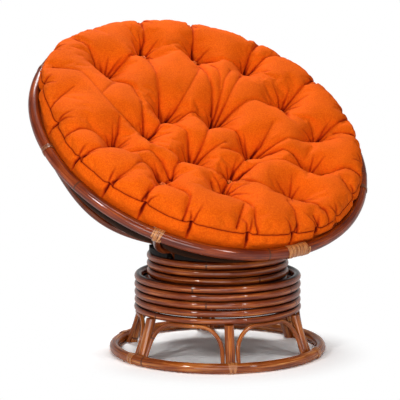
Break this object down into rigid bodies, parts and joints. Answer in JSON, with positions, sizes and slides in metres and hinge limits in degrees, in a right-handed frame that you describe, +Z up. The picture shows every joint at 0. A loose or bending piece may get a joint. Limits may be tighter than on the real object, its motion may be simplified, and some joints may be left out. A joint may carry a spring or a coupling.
{
  "type": "papasan chair",
  "caption": "Round tilted bowl chair: bent-cane rim and ribs on a nested drum base that turns and rocks on springs, with a thick tufted cushion that lifts off.",
  "frame": {"origin": "on the floor, under the centre of the bowl's rim", "axes": "+X to the sitter's left, +Y to the back, +Z up"},
  "size_m": [1.1045, 0.9067, 1.0113],
  "materials": {
    "rattan_cane": "red-brown rattan cane under glossy clear lacquer",
    "rattan_peel": "split rattan peel, satin lacquer",
    "bare_wood": "plain planed wood",
    "zinc_steel": "zinc-plated pressed steel",
    "spring_steel": "oiled spring steel wire",
    "black_board": "board painted matt black",
    "cushion_cloth": "orange plain-woven cotton over fibre filling"
  },
  "bodies": {
    "base": {"floor_ring": "rattan_cane", "lower_drum_ring_1": "rattan_cane", "lower_drum_ring_2": "rattan_cane", "lower_drum_ring_3": "rattan_cane", "lower_drum_ring_4": "rattan_cane", "lower_drum_ring_5": "rattan_cane", "leg_1": "rattan_cane", "leg_2": "rattan_cane", "leg_3": "rattan_cane", "leg_4": "rattan_cane", "leg_5": "rattan_cane", "leg_6": "rattan_cane", "arch_1": "rattan_cane", "arch_2": "rattan_cane", "arch_3": "rattan_cane", "arch_4": "rattan_cane", "arch_5": "rattan_cane", "arch_6": "rattan_cane", "foot_strap_1": "rattan_peel", "foot_strap_2": "rattan_peel", "foot_strap_3": "rattan_peel", "foot_strap_4": "rattan_peel", "foot_strap_5": "rattan_peel", "foot_strap_6": "rattan_peel", "cross_bar_front": "bare_wood", "cross_bar_back": "bare_wood", "swivel_base_plate": "zinc_steel", "swivel_bearing": "zinc_steel"},
    "turntable": {"swivel_top_plate": "zinc_steel", "rocking_spring_1": "spring_steel", "rocking_spring_2": "spring_steel", "rocking_spring_3": "spring_steel", "rocking_spring_4": "spring_steel"},
    "rocker": {"rocker_plate": "zinc_steel", "seat_board": "black_board", "upper_drum_ring_1": "rattan_cane", "upper_drum_ring_2": "rattan_cane", "upper_drum_ring_3": "rattan_cane", "upper_drum_ring_4": "rattan_cane", "rib_1": "rattan_cane", "rib_2": "rattan_cane", "rib_3": "rattan_cane", "rib_4": "rattan_cane", "rib_5": "rattan_cane", "rib_6": "rattan_cane", "rib_7": "rattan_cane", "rib_8": "rattan_cane", "rim": "rattan_cane", "rim_wrap_1": "rattan_peel", "rim_wrap_2": "rattan_peel", "rim_wrap_3": "rattan_peel", "rim_wrap_4": "rattan_peel", "rim_wrap_5": "rattan_peel", "rim_wrap_6": "rattan_peel", "rim_wrap_7": "rattan_peel", "rim_wrap_8": "rattan_peel"},
    "cushion": {"cushion": "cushion_cloth"}
  },
  "joints": [
    {"name": "swivel", "type": "hinge", "parent": "base", "child": "turntable", "pos_m": [0, -0.1046, 0.185], "axis": [0, 0, 1], "continuous": true},
    {"name": "rock", "type": "hinge", "parent": "turntable", "child": "rocker", "pos_m": [0, -0.1046, 0.25], "axis": [1, 0, 0], "range_deg": [-10, 10], "stiffness_Nm_per_rad": 1200, "springref_deg": 2.48, "deforming": ["rocking_spring_1", "rocking_spring_2", "rocking_spring_3", "rocking_spring_4"]},
    {"name": "cushion_lift", "type": "slide", "parent": "rocker", "child": "cushion", "axis": [0, -0.583, 0.8125], "range_m": [0, 0.35]}
  ]
}
